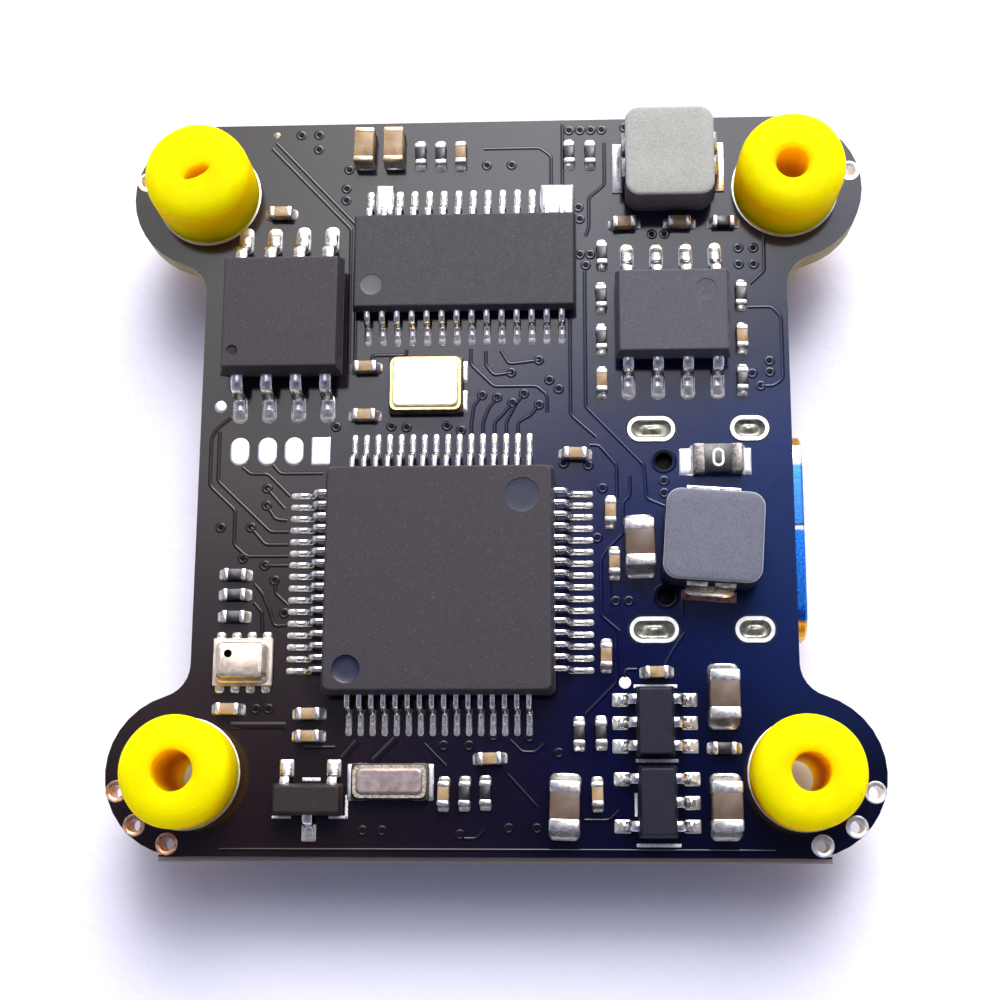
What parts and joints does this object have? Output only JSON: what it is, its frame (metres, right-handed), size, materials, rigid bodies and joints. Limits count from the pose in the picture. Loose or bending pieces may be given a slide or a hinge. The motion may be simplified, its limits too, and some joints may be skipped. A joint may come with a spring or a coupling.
{
  "type": "flight controller board",
  "caption": "Small square flight controller board with soft-mounted corner holes, surface-mount chips, power inductors and a USB socket below its right edge.",
  "frame": {"origin": "under the middle of the four mounting holes, at the lowest point of the USB socket's shell", "axes": "+X towards the USB socket's mouth, +Y towards the back edge, +Z out of the component side"},
  "size_m": [0.0322, 0.0326, 0.0068],
  "materials": {
    "solder_mask": "dark blue-black solder mask over fibreglass",
    "silicone": "bright yellow silicone",
    "moulding": "dark grey moulded epoxy with tinned leads",
    "capacitor_tan": "tan ceramic with tinned end caps",
    "capacitor_brown": "brown ceramic with tinned end caps",
    "resistor_black": "black film on ceramic with tinned end caps",
    "inductor_pale": "pale grey pressed powder block",
    "inductor_lavender": "lavender grey pressed powder block",
    "gold_can": "gold plated lid",
    "silver_can": "plain nickel lid",
    "sensor_base": "pale substrate",
    "socket_shell": "bright plated steel",
    "socket_core": "black moulded plastic",
    "button_cap": "pale moulded plastic",
    "ivory_plastic": "ivory moulded plastic",
    "light_lens": "pale green clear lens"
  },
  "bodies": {
    "board": {"boot_button_base": "socket_core", "boot_button_cover": "socket_shell", "bulk_capacitor_1": "capacitor_brown", "bulk_capacitor_2": "capacitor_brown", "bulk_capacitor_3": "capacitor_brown", "bulk_capacitor_4": "capacitor_brown", "cable_socket": "ivory_plastic", "circuit_board": "solder_mask", "clock_crystal": "silver_can", "converter_chip": "moulding", "display_chip": "moulding", "driver_six_lead": "moulding", "filter_capacitor_1": "capacitor_tan", "filter_capacitor_2": "capacitor_tan", "gold_oscillator": "gold_can", "grommet_back_left": "silicone", "grommet_back_right": "silicone", "grommet_front_left": "silicone", "grommet_front_right": "silicone", "link_resistor": "resistor_black", "memory_chip": "moulding", "motion_sensor": "moulding", "power_inductor_back": "inductor_pale", "power_inductor_right": "inductor_lavender", "pressure_sensor_base": "sensor_base", "pressure_sensor_lid": "silver_can", "processor_chip": "moulding", "small_capacitor_01": "capacitor_tan", "small_capacitor_02": "capacitor_tan", "small_capacitor_03": "capacitor_tan", "small_capacitor_04": "capacitor_tan", "small_capacitor_05": "capacitor_tan", "small_capacitor_06": "capacitor_tan", "small_capacitor_07": "capacitor_tan", "small_capacitor_08": "capacitor_tan", "small_capacitor_09": "capacitor_tan", "small_capacitor_10": "capacitor_tan", "small_capacitor_11": "capacitor_tan", "small_capacitor_12": "capacitor_tan", "small_capacitor_13": "capacitor_tan", "small_capacitor_14": "capacitor_tan", "small_capacitor_15": "capacitor_tan", "small_capacitor_16": "capacitor_tan", "small_capacitor_17": "capacitor_tan", "small_capacitor_18": "capacitor_tan", "small_capacitor_19": "capacitor_tan", "small_resistor_01": "resistor_black", "small_resistor_02": "resistor_black", "small_resistor_03": "resistor_black", "small_resistor_04": "resistor_black", "small_resistor_05": "resistor_black", "small_resistor_06": "resistor_black", "small_resistor_07": "resistor_black", "small_resistor_08": "resistor_black", "status_light": "light_lens", "supply_five_lead": "moulding", "transistor_three_lead": "moulding", "usb_insulator": "socket_core", "usb_shell": "socket_shell"},
    "plunger": {"boot_button_plunger": "button_cap"}
  },
  "joints": [
    {"name": "boot_button_press", "type": "slide", "parent": "board", "child": "plunger", "axis": [0, 0, 1], "range_m": [0, 0.00025], "stiffness_N_per_m": 6400}
  ]
}
